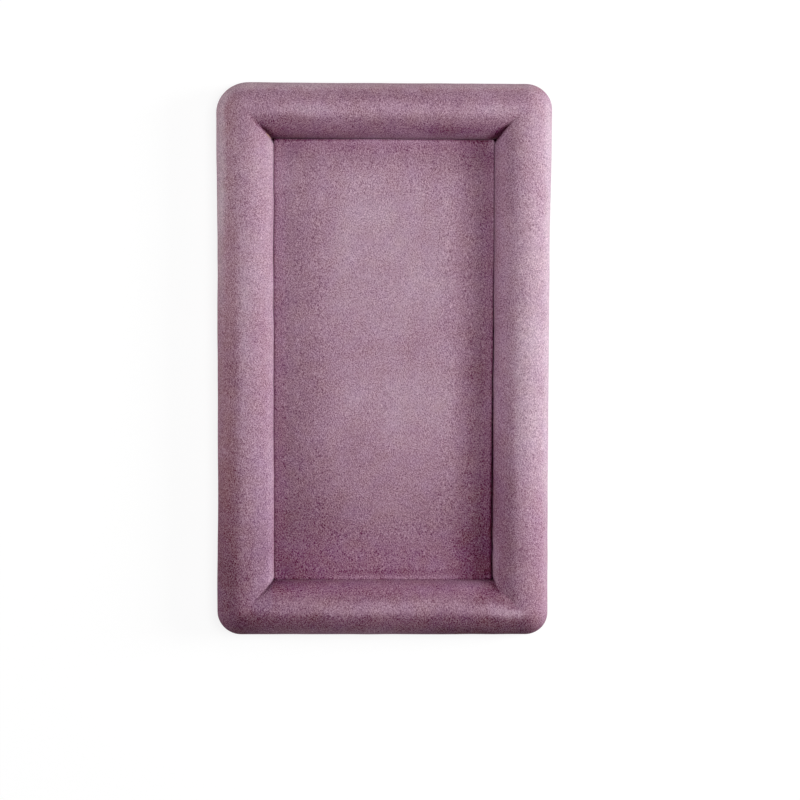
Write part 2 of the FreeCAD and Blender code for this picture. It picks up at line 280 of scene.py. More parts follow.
def paint_pile_shading(piece, shading):
    """Keeps each point's painted light and shade, above 0 where it is painted lighter, and its colour cast.
    """
    places = [vertex.co for vertex in piece.data.vertices]
    # Painted light and shade, partly the lean of the nap, kept on each point
    leans = piece.data.attributes.new(SHADING_ATTRIBUTE, "FLOAT", "POINT")
    leans.data.foreach_set("value", [shading(place) for place in places])
    casts = piece.data.attributes.new(CAST_NAME, "FLOAT_VECTOR", "POINT")
    casts.data.foreach_set("vector", [part for place in places for part in pile_cast(place)])


def finish_velvet(piece, smoothing, settings):
    """Smooths a sheet, thickens it inwards from the face that shows, and dresses it in velvet."""
    bpy.ops.object.shade_smooth_by_angle(angle=smoothing)
    solid = piece.modifiers.new("Cloth thickness", "SOLIDIFY")
    solid.thickness = CLOTH_SHARE * CLOTH_THICKNESS
    solid.offset = -1.0
    solid.use_even_offset = False
    bpy.ops.object.modifier_apply(modifier=solid.name)
    dress(piece, velvet_material(settings))


def dress(piece, material):
    """Gives a piece one material all over."""
    piece.data.materials.clear()
    piece.data.materials.append(material)


def smooth_step(low, high, value):
    """Goes smoothly from 0 at low to 1 at high, also where high is the lesser."""
    share = min(1.0, max(0.0, (value - low) / (high - low)))
    return share * share * (3 - 2 * share)


def stretch(value, start, full, fading=None, end=None):
    """Comes in smoothly from start to full, and goes out from fading to end where these are given."""
    share = smooth_step(start, full, value)
    return share if end is None else share * (1 - smooth_step(fading, end, value))


def hump(value, width, middle=0.0):
    """A smooth hump that is 1 at its middle and nearly gone two widths away."""
    return math.exp(-((value - middle) / width) ** 2)


def ripple(place, wavelength, offset=0.0):
    """Smooth unevenness between about -1 and 1, with the given wavelength."""
    return noise.noise(place / wavelength + Vector((offset, offset, offset)))


# Helpers for materials

def fill_inputs(tree, node, inputs):
    """Gives inputs of a node their values or links."""
    for socket, value in inputs.items():
        if isinstance(value, bpy.types.NodeSocket):
            tree.links.new(value, node.inputs[socket])
        else:
            node.inputs[socket].default_value = value


def add_node(tree, kind, inputs=None, **settings):
    """Adds a node, with its settings and with values or links for its inputs."""
    node = tree.nodes.new(kind)
    for name, value in settings.items():
        setattr(node, name, value)
    fill_inputs(tree, node, inputs or {})
    return node


def new_material(name):
    """A material with only its shader, its output and its Object coordinates."""
    material = bpy.data.materials.new(name)
    material.use_nodes = True
    tree = material.node_tree
    tree.nodes.clear()
    shader = add_node(tree, "ShaderNodeBsdfPrincipled")
    add_node(tree, "ShaderNodeOutputMaterial", {"Surface": shader.outputs["BSDF"]})
    place = add_node(tree, "ShaderNodeTexCoord").outputs["Object"]
    return material, tree, shader, place


def new_group(name, inputs):
    """A node group that gives a colour and a height, with the kind of each input by its name."""
    group = bpy.data.node_groups.new(name, "ShaderNodeTree")
    for socket, kind in inputs.items():
        group.interface.new_socket(socket, in_out="INPUT", socket_type=f"NodeSocket{kind}")
    for socket, kind in (("Colour", "Color"), ("Height", "Float")):
        group.interface.new_socket(socket, in_out="OUTPUT", socket_type=f"NodeSocket{kind}")
    return group, add_node(group, "NodeGroupInput").outputs


def fine_noise(tree, place, size, detail=2.0, roughness=0.5):
    """Noise with features of about the given size, in metres."""
    inputs = {"Vector": place, "Scale": 1.0 / size, "Detail": detail, "Roughness": roughness}
    return add_node(tree, "ShaderNodeTexNoise", inputs).outputs["Fac"]


def strokes(tree, place, angle, length, width):
    """Noise drawn out into short strokes that lie at an angle across the surface."""
    turned = add_node(tree, "ShaderNodeMapping", {"Vector": place, "Rotation": (0.0, 0.0, angle)})
    scale = (1.0 / length, 1.0 / width, 1.0 / width)
    drawn = add_node(tree, "ShaderNodeMapping", {"Vector": turned.outputs["Vector"], "Scale": scale})
    return fine_noise(tree, drawn.outputs["Vector"], 1.0, detail=1.0)


def combine(tree, operation, first, second, third=0.0):
    """Result of one Math node."""
    inputs = {0: first, 1: second, 2: third}
    return add_node(tree, "ShaderNodeMath", inputs, operation=operation).outputs[0]


def combine_vectors(tree, operation, first, second):
    """Result of one Vector Math node."""
    inputs = {0: first, "Scale" if operation == "SCALE" else 1: second}
    return add_node(tree, "ShaderNodeVectorMath", inputs, operation=operation).outputs["Vector"]


def centred(tree, value):
    """A value between 0 and 1, moved so that it lies round 0."""
    return combine(tree, "SUBTRACT", value, 0.5)


def grain_height(tree, points, lines):
    """Height of a grain that is made of points and of lines."""
    point_share = 0.6
    line_height = combine(tree, "MULTIPLY", lines, 1 - point_share)
    return combine(tree, "MULTIPLY_ADD", points, point_share, line_height)


def relief(tree, height, strength, distance):
    """Normal of a surface with a fine relief."""
    inputs = {"Height": height, "Strength": strength, "Distance": distance}
    return add_node(tree, "ShaderNodeBump", inputs).outputs["Normal"]


def mix_colour(tree, factor, first, second):
    """Colour between two colours, by the sockets that a Mix node has for colours."""
    factor_socket, first_socket, second_socket, result_socket = 0, 6, 7, 2
    inputs = {factor_socket: factor, first_socket: first, second_socket: second}
    return add_node(tree, "ShaderNodeMix", inputs, data_type="RGBA").outputs[result_socket]


def colour_by_level(tree, level, stops):
    """Colour that runs through stops, each given as level and colour."""
    node = add_node(tree, "ShaderNodeValToRGB", {"Fac": level})
    elements = node.color_ramp.elements
    elements[0].color = opaque(stops[0][1])
    elements[1].color = opaque(stops[-1][1])
    for place, colour in stops[1:-1]:
        elements.new(place).color = opaque(colour)
    return node.outputs["Color"]


def opaque(colour):
    """A colour as the four values that a socket takes."""
    return (*colour, 1.0)


# Finishes

# How far the pile's painted light and shade move its colour from the middle of its range, how deep the
# grain is in the darkest pile, and how strongly the grain shows
TONE_GAIN = 0.3
MIDDLE_LEVEL = 0.5
LEAST_DEPTH = 0.55
GRAIN_CONTRAST = 1.88

# Unevenness of the nap: size of its clumps, leans and patches, their detail, and how strongly they show
NAP_NOISES = (
    (1.6 * MM, 1.0, 0.035),
    (8.0 * MM, 2.0, 0.14),
    (30.0 * MM, 1.0, 0.18),
)


def pile_group(settings):
    """Velvet pile: the grain of its tips, clumps of tips, broad uneven places of its nap, and the painted
    light and shade that each point carries.
    """
    group, given = new_group("Velvet pile", {"Place": "Vector", "Tone": "Float", "Cast": "Vector"})
    place = given["Place"]
    level = combine(group, "MULTIPLY_ADD", given["Tone"], TONE_GAIN, MIDDLE_LEVEL)
    depth = combine(group, "ADD", level, LEAST_DEPTH)
    swing = 0.0
    for size, detail, contrast in NAP_NOISES:
        stray = centred(group, fine_noise(group, place, size, detail))
        swing = combine(group, "MULTIPLY_ADD", stray, contrast, swing)
    level = combine(group, "MULTIPLY_ADD", swing, depth, level)
    # The painted light and shade and the nap's noise move the colour along these stops
    colour = colour_by_level(group, level, (
        (0.0, settings.shade), (0.25, settings.turned), (0.5, settings.body), (1.0, settings.light)))

    tips = fine_noise(group, place, 0.35 * MM, detail=1.0)
    brushed = strokes(group, place, math.radians(75), 0.75 * MM, 0.33 * MM)
    height = grain_height(group, tips, brushed)
    stray = combine(group, "MULTIPLY", centred(group, height), GRAIN_CONTRAST)
    stray = combine(group, "MULTIPLY", stray, depth)
    cool = centred(group, fine_noise(group, place, 6.5 * MM, detail=1.0))
    colour = combine_vectors(group, "ADD", colour, given["Cast"])
    for shift, share in ((settings.grain, stray), (settings.cast, cool)):
        colour = combine_vectors(group, "ADD", colour, combine_vectors(group, "SCALE", shift, share))
    colour = combine_vectors(group, "MAXIMUM", colour, settings.darkest)
    add_node(group, "NodeGroupOutput", {"Colour": colour, "Height": height})
    return group


def velvet_material(settings):
    """Mauve cut-pile velvet."""
    name = "Mauve velvet"
    if name in bpy.data.materials:
        return bpy.data.materials[name]
    material, tree, shader, place = new_material(name)
    # Painted light and shade of the pile, partly the lean of its nap, as kept on each point
    shading = add_node(tree, "ShaderNodeAttribute", attribute_name=SHADING_ATTRIBUTE).outputs["Fac"]
    cast = add_node(tree, "ShaderNodeAttribute", attribute_name=CAST_NAME).outputs["Vector"]
    inputs = {"Place": place, "Tone": shading, "Cast": cast}
    pile = add_node(tree, "ShaderNodeGroup", inputs, node_tree=pile_group(settings)).outputs
    fill_inputs(tree, shader, {
        "Base Color": pile["Colour"],
        "Normal": relief(tree, pile["Height"], 0.5, 0.2 * MM),
        "Roughness": 0.95,
        "Specular IOR Level": 0.1,
        "Sheen Weight": settings.sheen,
        "Sheen Roughness": 0.35,
        "Sheen Tint": opaque(settings.sheen_tint),
    })
    return material


def fleck_group():
    """Flecks and fibres of felt or of fibre board."""
    name = "Pressed fibres"
    if name in bpy.data.node_groups:
        return bpy.data.node_groups[name]
    group, given = new_group(name, {"Place": "Vector", "Shade": "Color", "Light": "Color"})
    place = given["Place"]
    grit = fine_noise(group, place, 0.5 * MM, detail=3.0, roughness=0.6)
    fibres = strokes(group, place, math.radians(25), 4.0 * MM, 0.4 * MM)
    cloud = fine_noise(group, place, 14.0 * MM)
    height = grain_height(group, grit, fibres)
    share = combine(group, "MULTIPLY_ADD", cloud, 0.4, combine(group, "MULTIPLY", height, 0.8))
    level = add_node(group, "ShaderNodeMapRange", {"Value": share, "From Min": 0.35, "From Max": 0.85})
    colour = mix_colour(group, level.outputs["Result"], given["Shade"], given["Light"])
    add_node(group, "NodeGroupOutput", {"Colour": colour, "Height": height})
    return group


def fibre_material(name, shade, light, roughness, sheen=0.0):
    """A fibrous sheet: fibreboard, hardboard, greyboard or felt."""
    material, tree, shader, place = new_material(name)
    inputs = {"Place": place, "Shade": opaque(shade), "Light": opaque(light)}
    fibres = add_node(tree, "ShaderNodeGroup", inputs, node_tree=fleck_group()).outputs
    fill_inputs(tree, shader, {
        "Base Color": fibres["Colour"],
        "Normal": relief(tree, fibres["Height"], 0.4, 0.15 * MM),
        "Roughness": roughness,
        "Sheen Weight": sheen,
    })
    return material


def steel_material():
    """Bright drawn steel with fine scratches."""
    material, tree, shader, place = new_material("Bright steel")
    scratches = strokes(tree, place, 0.0, 6.0 * MM, 0.15 * MM)
    rough = add_node(tree, "ShaderNodeMapRange", {"Value": scratches, "To Min": 0.25, "To Max": 0.45})
    colour = mix_colour(tree, scratches, opaque((0.50, 0.51, 0.53)), opaque((0.60, 0.61, 0.63)))
    fill_inputs(tree, shader, {
        "Base Color": colour, "Roughness": rough.outputs["Result"], "Metallic": 1.0})
    return material


# Velvet of the rim

class TRAY_OT_velvet_rim(bpy.types.Operator):
    """Velvet stretched over the rim, tucked down inside it and turned under outside"""

    bl_idname = "tray.velvet_rim"
    bl_label = "Velvet Rim"
    bl_options = {"REGISTER", "UNDO"}

    def execute(self, context):
        settings = context.scene.tray_rim
        rim = outer_rim_half(settings)
        inner = inner_rim_half(settings)
        deselect_all()
        inner.select_set(True)
        rim.select_set(True)
        context.view_layer.objects.active = rim
        bpy.ops.object.join()
        open_piece(rim)
        merge_doubles()
        divide_edges(rim, 0, 2 * CREST_X)
        divide_edges(rim, 1, 2 * CREST_Y)
        for side_x in (-1, 1):
            for side_y in (-1, 1):
                cut_beside_mitre(rim, side_x, side_y)
        face_up(rim, CROWN - 1.0 * MM)
        close_piece()
        move_points(rim, lambda place, normal: rim_shift(place, normal, settings.waviness))
        paint_pile_shading(rim, rim_painted_shading)
        finish_velvet(rim, RIM_SMOOTHING, context.scene.tray_velvet)
        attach(rim, "root")
        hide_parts("rim_velvet")
        return {"FINISHED"}


def outer_rim_half(settings):
    """The rim outside its crest: one section drawn at a corner and swept round all four sides."""
    start = Vector((-CREST_X, -CREST_Y, SPRING_LINE))
    deselect_all()
    bpy.ops.mesh.primitive_circle_add(
        vertices=4 * ARC_STEPS, radius=RIM_RADIUS, location=start, rotation=(0, HALF_PI, 0))
    half = settle_place("velvet_rim")
    open_piece(half)
    pick(half, "VERT", lambda point: point.co.y > start.y + TINY or point.co.z < start.z - TINY)
    bpy.ops.mesh.delete(type="VERT")
    ease_middle = Vector((start.x, RIM_LOW.y + settings.ease, RIM_LOW.z + settings.ease))
    pick(half, "VERT", lambda point: point.co.z < SPRING_LINE + TINY)
    for _ in range(WALL_STEPS):
        extrude_points((0, 0, (ease_middle.z - SPRING_LINE) / WALL_STEPS))
    bpy.ops.mesh.spin(steps=EASE_STEPS, angle=-HALF_PI, center=ease_middle, axis=(1, 0, 0))
    for _ in range(TURN_IN_STEPS):
        extrude_points((0, settings.turn_in / TURN_IN_STEPS, 0))
    select_whole()
    corners = ((1, -1), (1, 1), (-1, 1), (-1, -1))
    runs = ((2 * CREST_X, 0, 0), (0, 2 * CREST_Y, 0), (-2 * CREST_X, 0, 0), (0, -2 * CREST_Y, 0))
    for run, (side_x, side_y) in zip(runs, corners):
        extrude_edges(run)
        corner = (side_x * CREST_X, side_y * CREST_Y, 0)
        bpy.ops.mesh.spin(steps=CORNER_STEPS, angle=-HALF_PI, center=corner, axis=(0, 0, 1))
    merge_doubles()
    close_piece()
    return half


def inner_rim_half(settings):
    """The rim inside its crest: the crest's rectangle drawn in and down, mitred at its corners."""
    half = new_plate("velvet_rim_inside", CREST_X, CREST_Y, CROWN)
    open_piece(half)
    select_whole()
    bpy.ops.mesh.delete(type="ONLY_FACE")
    turns = [step / ARC_STEPS * HALF_PI for step in range(1, ARC_STEPS + 1)]
    section = [
        (RIM_RADIUS * math.sin(turn), SPRING_LINE + RIM_RADIUS * math.cos(turn)) for turn in turns]
    section += [(RIM_RADIUS, (SPRING_LINE + FLANGE_TOP) / 2), (RIM_RADIUS, FLANGE_TOP)]
    section += [
        (RIM_RADIUS + settings.flange * step / FLANGE_STEPS, FLANGE_TOP)
        for step in range(1, FLANGE_STEPS + 1)
    ]
    inset, height = 0.0, CROWN
    select_whole()
    for next_inset, next_height in section:
        extrude_edges((0, 0, next_height - height))
        shrink = ((CREST_X - next_inset) / (CREST_X - inset), (CREST_Y - next_inset) / (CREST_Y - inset), 1)
        bpy.ops.transform.resize(value=shrink, center_override=(0, 0, 0))
        inset, height = next_inset, next_height
    close_piece()
    return half


def cut_beside_mitre(rim, side_x, side_y):
    """Adds cuts beside one inner mitre, so that its crease has points to bend at."""
    across = Vector((side_x, -side_y, 0)).normalized()
    corner = Vector((side_x * CREST_X, side_y * CREST_Y, 0))
    reach = RIM_RADIUS + 1.0 * MM

    def near_mitre(face):
        middle = face.calc_center_median()
        inset_x = CREST_X - side_x * middle.x
        inset_y = CREST_Y - side_y * middle.y
        return 0 < inset_x < reach and 0 < inset_y < reach

    for distance in MITRE_CUTS:
        for way in (-1, 1):
            pick(rim, "FACE", near_mitre)
            bpy.ops.mesh.bisect(plane_co=corner + way * distance * across, plane_no=across)


# Each inner mitre: depth and half width of its crease, how far the cloth stands proud beside it on
# the long rail and on the short rail, how dark and how wide the painted shade in its crease is, how far in
# from the crest it begins, how much its width grows at its inner end, how far the crease leans onto the
# short rail for its distance from the inner end, and how far the long rail's foot draws back from the corner
MitreCrease = namedtuple(
    "MitreCrease",
    "depth width long_proud short_proud darkness dark_width start flare lean retreat")
MITRE_CREASES = {
    (-1, 1): MitreCrease(
        0.45 * MM, 0.70 * MM, 0.32 * MM, 0.00 * MM, 1.1, 1.7 * MM, 3.2 * MM, 0.1, -0.17, 0.50 * MM),
    (1, 1): MitreCrease(
        0.50 * MM, 0.75 * MM, 0.30 * MM, 0.35 * MM, 2.3, 1.9 * MM, 3.4 * MM, 0.2, 0.0, 0.40 * MM),
    (-1, -1): MitreCrease(
        0.40 * MM, 0.65 * MM, 0.28 * MM, 0.05 * MM, 0.1, 1.3 * MM, 3.6 * MM, 0.4, 0.0, 0.00 * MM),
    (1, -1): MitreCrease(
        0.18 * MM, 0.70 * MM, 0.14 * MM, 0.00 * MM, 0.8, 2.4 * MM, 4.4 * MM, 0.0, 0.40, 0.25 * MM),
}

# Distances in from the crest between which a crease deepens and fades, its painted shade grows wider, and
# a rail's foot swells; length over which the painted shade comes in, and its width on the long rail
CREASE_REACH = (1.5 * MM, 7.0 * MM, 10.5 * MM, 12 * MM)
FLARE_REACH = (7.5 * MM, 10.0 * MM)
FOOT_REACH = (6.5 * MM, 9.0 * MM)
CREASE_DARKENING = 5.0 * MM
LONG_SIDE_DARK = 0.35 * MM

# Each outer corner: the radius that the cloth gives it, seen from above, and how far the long rail bows
# out towards it, with the shares of the rail's half length between which it does
OUTER_CORNERS = {
    (-1, 1): (11.4 * MM, 0.30 * MM),
    (1, 1): (9.2 * MM, 0.45 * MM),
    (-1, -1): (8.5 * MM, 0.30 * MM),
    (1, -1): (8.1 * MM, 0.10 * MM),
}
BOW_REACH = (0.45, 0.95)

# How far the foot of each rail's cloth swells into the well, and the left one towards the front
FOOT_SWELL = {"left": 0.26 * MM, "right": 0.09 * MM, "front": 0.27 * MM, "back": 0.0}
LEFT_FRONT_SWELL = 0.12 * MM
LEFT_FRONT_REACH = (0.0, -70 * MM)

# How far the line where rim and panel meet strays from straight, and how near a corner it doesn't
JOINT_WAVE = 0.30 * MM
CORNER_HOLD = 2.2 * MM

# How far the outer face of each short rail's cloth is drawn in
END_DRAW = {"front": 0.18 * MM, "back": 0.16 * MM}


def rim_place(place):
    """Side of the tray, insets from the crest's two lines, and the two rails that meet at its corner."""
    side = (1 if place.x > 0 else -1, 1 if place.y > 0 else -1)
    inset_x = CREST_X - abs(place.x)
    inset_y = CREST_Y - abs(place.y)
    long_rail = "right" if side[0] > 0 else "left"
    short_rail = "back" if side[1] > 0 else "front"
    return side, inset_x, inset_y, long_rail, short_rail


def joint_wave(side, along):
    """How far the line where rim and panel meet strays into the well, by the distance along a side."""
    place = Vector((side * CREST_X, along, 0))
    return JOINT_WAVE * (0.6 * ripple(place, 16 * MM, 9.0) + 0.4 * ripple(place, 5 * MM, 11.0))


def rim_shift(place, normal, waviness):
    """How far a point of the rim strays from the rail's true form."""
    side, inset_x, inset_y, _, short_rail = rim_place(place)
    waves = 0.7 * ripple(place, 34 * MM) + 0.5 * ripple(place, 9 * MM, 7.0)
    if min(inset_x, inset_y) > 0:
        free = smooth_step(SPRING_LINE, SPRING_LINE + 3.0 * MM, place.z)
        move = crease_shift(side, inset_x, inset_y, normal, normal * waviness * free * waves)
        return move + foot_shift(place)
    free = smooth_step(RIM_LOW.z + 0.5 * MM, SPRING_LINE, place.z)
    move = normal * waviness * free * waves
    radius, bow = OUTER_CORNERS[side]
    move.y -= side[1] * END_DRAW[short_rail] * max(0.0, -inset_y) / RIM_RADIUS
    share = max(0.0, -inset_x) / RIM_RADIUS
    move.x += side[0] * bow * share * smooth_step(*BOW_REACH, abs(place.y) / CREST_Y)
    if inset_x < 0 and inset_y < 0:
        outward = Vector((place.x - side[0] * CREST_X, place.y - side[1] * CREST_Y, 0))
        move += outward * (corner_reach(math.atan2(-inset_y, -inset_x), radius) - 1)
    elif inset_x < 0 and inset_y < radius - RIM_RADIUS:
        move.x += side[0] * share * (side_reach(inset_y, radius) - RIM_RADIUS)
    elif inset_y < 0 and inset_x < radius - RIM_RADIUS:
        move.y -= side[1] * inset_y / RIM_RADIUS * (side_reach(inset_x, radius) - RIM_RADIUS)
    return move


def crease_shift(side, inset_x, inset_y, normal, move):
    """Adds the crease of an inner mitre, and the cloth that stands proud beside it, to a move."""
    crease = MITRE_CREASES[side]
    apart = mitre_apart(crease, inset_x, inset_y)
    reach = stretch(min(inset_x, inset_y), *CREASE_REACH)
    groove = hump(apart, 0.6 * crease.width, 0.25 * crease.width)
    if apart < 0:
        shoulder = crease.long_proud * hump(apart, crease.width, -1.4 * crease.width)
    else:
        shoulder = crease.short_proud * hump(apart, crease.width, 2.1 * crease.width)
    down = Vector((0.4 * side[0], 0.4 * side[1], -0.6)).normalized()
    return move * (1 - groove) + down * crease.depth * groove * reach + normal * shoulder * reach


def foot_shift(place):
    """How far a point strays into the well where the foot of its rail's cloth swells."""
    side, inset_x, inset_y, long_rail, short_rail = rim_place(place)
    swell = smooth_step(*FOOT_REACH, min(inset_x, inset_y))
    on_short = smooth_step(-1.0 * MM, 1.0 * MM, inset_x - inset_y)
    by_corner = hump(max(0.0, inset_y - inset_x), CORNER_HOLD)
    long_foot = FOOT_SWELL[long_rail] + joint_wave(side[0], place.y)
    if long_rail == "left":
        long_foot += LEFT_FRONT_SWELL * smooth_step(*LEFT_FRONT_REACH, place.y)
    long_foot = long_foot * (1 - by_corner) - MITRE_CREASES[side].retreat * by_corner
    by_corner = hump(max(0.0, inset_x - inset_y), CORNER_HOLD)
    short_foot = FOOT_SWELL[short_rail] + joint_wave(2 * side[1], place.x) * (1 - by_corner)
    return -swell * Vector((side[0] * long_foot * (1 - on_short), side[1] * short_foot * on_short, 0))


def mitre_apart(crease, inset_x, inset_y):
    """Distance of a point from a mitre's crease: below 0 on the long rail, above 0 on the short one."""
    inset = (inset_x + inset_y) / 2
    bend = crease.lean * max(0.0, RIM_RADIUS - inset)
    bend -= crease.retreat * smooth_step(0.7 * RIM_RADIUS, RIM_RADIUS, inset)
    return (inset_x - inset_y) / math.sqrt(2) - bend


def corner_reach(turn, radius):
    """Where a corner of the given radius lies at an angle round the crest's corner, in rim radii."""
    excess = radius - RIM_RADIUS
    turn = min(turn, HALF_PI - turn)
    if excess < 0 and math.tan(turn) < -excess / RIM_RADIUS:
        return 1 / math.cos(turn)
    middle = -excess * (math.cos(turn) + math.sin(turn))
    return (middle + math.sqrt(radius ** 2 - excess ** 2 * (1 - math.sin(2 * turn)))) / RIM_RADIUS


def side_reach(before, radius):
    """How far out a wide corner's arc lies at a distance before the crest's corner."""
    excess = radius - RIM_RADIUS
    return math.sqrt(radius ** 2 - (excess - before) ** 2) - excess


# Each rail's painted light and shade, partly the lean of its nap: its value at its outer edge, mostly a
# painted highlight and on the front rail painted shade, on its outer slope, crest and inner slope, and at
# its foot; how much painted shade it takes towards the rail's ends, in a hollow of its inner slope and low
# in the cleft beside the panel; and how many mm outside the crest its edge starts and its tones lie inward.
# Each has a first value and then changes: by how much, and from where to where in mm along the rail the
# change comes in and, with four places, goes out again.
RAIL_LIGHT_AND_SHADE = {
    "left": {
        "edge": (-0.25, (0.95, -5, 60), (0.15, 30, 60)),
        "outer": (-0.35, (0.45, -5, 60)),
        "crest": (0.02, (0.16, -8, 8, 45, 58), (-0.05, 62, 84)),
        "inner": (0.15, (0.04, -5, 60), (-0.22, 62, 84), (0.27, -68, -80), (-0.15, 35, 15)),
        "foot": (0.30, (0.50, -68, -80), (0.15, 62, 84), (0.12, -10, -40)),
        "pressed": (0.0, (0.682, -18, -88), (0.275, 66, 95)),
        "edge_start": (6.4, (-1.2, -5, 60)),
    },
    "right": {
        "edge": (0.84, (-0.45, 91, 96)),
        "outer": (0.40, (0.12, -66, -80)),
        "crest": (0.26, (0.15, -66, -80), (-0.09, 44, 54, 76, 86)),
        "inner": (
            -0.08, (0.20, -60, -76), (0.22, 18, 28, 46, 56), (-0.28, 0, -30, -48, -58),
            (-0.10, 44, 54, 76, 86)),
        "foot": (-0.08, (0.75, -52, -72), (-0.20, -20, -30, -48, -58)),
        "pressed": (0.0, (0.806, -18, -88), (0.325, 66, 95)),
        "cleft": (0.0, (0.9, 8, -22)),
        "edge_start": (6.4,),
    },
    "back": {
        "edge": (0.38, (0.15, 0, -30), (-0.45, 51, 56)),
        "outer": (-0.35,),
        "crest": (0.03, (-0.28, -34, -46)),
        "inner": (-0.48, (-0.33, -14, -30)),
        "foot": (-0.48, (0.25, -22, 0), (-0.40, -10, -36)),
        "hollow": (0.0, (0.32, 2, 18, 35, 42)),
        "cleft": (0.0, (0.3, -5, -30)),
        "edge_start": (5.4,),
    },
    "front": {
        "edge": (-0.50, (-1.00, -4, 38), (-0.8, -34, -54)),
        "outer": (-0.96, (-0.12, 0, 40), (-0.4, -34, -54)),
        "crest": (-0.20, (-0.20, -14, -30), (-0.20, 2, 12, 30, 40), (0.36, 34, 42), (-0.25, -36, -46)),
        "inner": (-0.68, (-0.27, 30, 37)),
        "foot": (-0.60, (-0.45, -12, -36), (-0.4, -30, -39)),
        "hollow": (0.0, (0.35, -26, -36)),
        "cleft": (0.0, (0.75, 22, 36)),
        "edge_start": (6.4,),
        "inward": (0.6, (-0.9, 28, 44), (0.5, -16, -32), (-0.5, -6, -12, -20, -26)),
    },
}

# Distances from a rail's crest between which one tone gives way to the next, middle and width of the
# hollow, and heights between which the pile comes out of the cleft and leaves the outer wall
OUTER_SLOPE = (0.2 * MM, 3.4 * MM)
INNER_SLOPE = (1.0 * MM, 4.5 * MM)
FOOT_SLOPE = (7.0 * MM, 9.8 * MM)
EDGE_WIDTH = 3.0 * MM
HOLLOW_MIDDLE = 7.4 * MM
HOLLOW_WIDTH = 1.4 * MM
CLEFT_HEIGHTS = (5.5 * MM, 8.0 * MM)
WALL_HEIGHTS = (5.0 * MM, 8.5 * MM)
WALL_SHARE = 0.5


def slope_painted_shading(rail, across, place):
    """Painted light and shade of one rail's pile, partly its nap, by the distance across it: below 0 outside
    its crest, above 0 inside.
    """
    along = (place.y if rail in ("left", "right") else place.x) / MM
    tones = defaultdict(float)
    for name, (first, *changes) in RAIL_LIGHT_AND_SHADE[rail].items():
        tones[name] = first + sum(amount * stretch(along, *places) for amount, *places in changes)
    across -= tones["inward"] * MM
    if across > 0:
        shading = tones["crest"] + (tones["inner"] - tones["crest"]) * smooth_step(*INNER_SLOPE, across)
        shading += (tones["foot"] - tones["inner"]) * smooth_step(*FOOT_SLOPE, across)
        # Painted shade low in the cleft beside the panel, in the hollow of the inner slope and towards the
        # rail's ends
        shading -= tones["cleft"] * (1 - smooth_step(*CLEFT_HEIGHTS, place.z))
        return shading - tones["hollow"] * hump(across, HOLLOW_WIDTH, HOLLOW_MIDDLE) - tones["pressed"]
    edge_start = tones["edge_start"] * MM
    shading = tones["crest"] + (tones["outer"] - tones["crest"]) * smooth_step(*OUTER_SLOPE, -across)
    shading += (tones["edge"] - tones["outer"]) * smooth_step(edge_start, edge_start + EDGE_WIDTH, -across)
    on_wall = 1 - smooth_step(*WALL_HEIGHTS, place.z)
    return shading + (WALL_SHARE * tones["outer"] - shading) * on_wall - tones["pressed"]


def rim_painted_shading(place):
    """Painted light and shade of the rim's pile, partly its nap: by rail and slope, with painted shade in
    the mitres' creases.
    """
    side, inset_x, inset_y, long_rail, short_rail = rim_place(place)
    stray = 0.9 * MM * ripple(place, 5 * MM, 2.0) + 0.6 * MM * ripple(place, 2 * MM, 4.0)
    if inset_x > 0 and inset_y > 0:
        crease = MITRE_CREASES[side]
        apart = mitre_apart(crease, inset_x, inset_y)
        inset = min(inset_x, inset_y)
        shading = slope_painted_shading(long_rail if apart < 0 else short_rail, inset + stray, place)
        reach = smooth_step(crease.start, crease.start + CREASE_DARKENING, inset)
        width = LONG_SIDE_DARK
        if apart > 0:
            flare = 1 + crease.flare * smooth_step(*FLARE_REACH, inset)
            width = (0.3 + 0.7 * reach) * crease.dark_width * flare
        # Painted shade along the mitre's crease
        return shading - crease.darkness * reach * hump(apart, width)
    if inset_x > 0:
        return slope_painted_shading(short_rail, inset_y + stray, place)
    if inset_y > 0:
        return slope_painted_shading(long_rail, inset_x + stray, place)
    across = stray - math.hypot(inset_x, inset_y)
    share = math.sin(math.atan2(-inset_y, -inset_x)) ** 2
    return (1 - share) * slope_painted_shading(long_rail, across, place) + share * slope_painted_shading(short_rail, across, place)


# How far the pile's colour strays: outside the left and back rails, inside the left rail, and the painted
# colour of shade in the folds round the panel and along its front, where pile lights pile
WARM_CAST = Vector((0.0, -0.013, -0.032))
COOL_CAST = Vector((0.0, 0.008, 0.020))
SHADE_CAST = Vector((0.0, -0.012, 0.0))

# Where it does, in mm from the left and back crests, along the tray, and from the panel's edges
WARM_FROM_LEFT = (-6, 0)
WARM_FROM_BACK = (-8.0, -5.5)
WARM_ALONG = (-84, -40)
COOL_FROM_LEFT = (1, 5, 9.5, 10.5)
COOL_ALONG = (-93, -87, -40, -10)
SHADE_CAST_FROM_EDGE = (2.0, 7.0)
SHADE_CAST_FROM_FRONT = (6, 24)
SHADE_CAST_FROM_LEFT = (9.0, 10.0)


